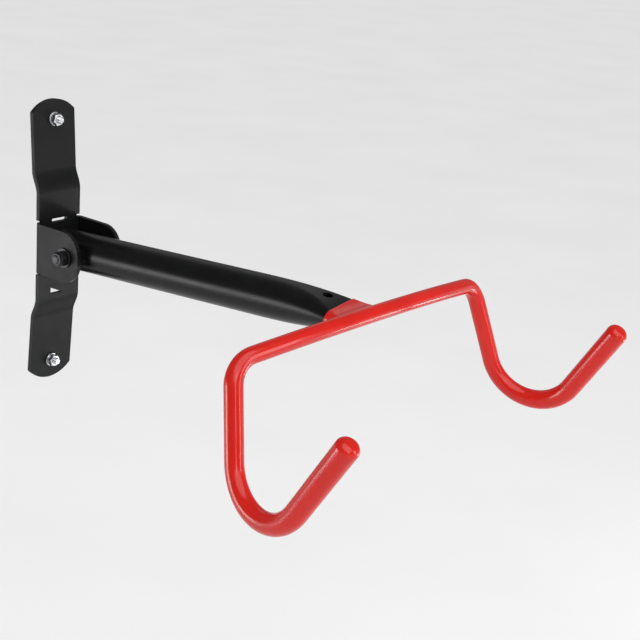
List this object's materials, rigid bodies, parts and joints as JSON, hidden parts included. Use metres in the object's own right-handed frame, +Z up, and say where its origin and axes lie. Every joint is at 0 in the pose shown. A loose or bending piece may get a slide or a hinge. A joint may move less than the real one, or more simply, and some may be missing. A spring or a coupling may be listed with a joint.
{
  "type": "bicycle wall rack",
  "caption": "Folding wall rack: a joggled steel bracket, a hinged arm tube and a red coated fork whose hooks carry a bicycle by its top tube.",
  "frame": {"origin": "on the wall face, midway between the two anchor studs", "axes": "+X along the wall, +Y into the wall, so the arm reaches out along -Y, +Z up"},
  "size_m": [0.3722, 0.5135, 0.264],
  "materials": {
    "bracket_paint": "satin black powder coat",
    "tube_paint": "satin black powder coat",
    "red_coating": "glossy dipped vinyl",
    "zinc": "bright zinc plate",
    "black_hardware": "black oxide",
    "bare_steel": "plain mill steel",
    "nylon": "natural nylon",
    "collar_nylon": "black nylon"
  },
  "bodies": {
    "wall_side": {"wall_bracket": "bracket_paint", "pivot_bolt": "black_hardware", "pivot_washers": "black_hardware", "pivot_nut": "black_hardware", "nut_collar": "collar_nylon", "thrust_washers": "nylon", "anchor_studs": "zinc", "anchor_washers": "zinc", "anchor_nuts": "zinc"},
    "arm": {"arm_tube": "tube_paint", "pivot_sleeve": "bare_steel", "fork_rod": "bare_steel", "fork_weld": "bare_steel", "fork_coat": "red_coating", "tube_coat": "red_coating"}
  },
  "joints": [
    {"name": "arm_fold", "type": "hinge", "parent": "wall_side", "child": "arm", "pos_m": [0, -0.051, 0], "axis": [-1, 0, 0], "range_deg": [0, 90]}
  ]
}
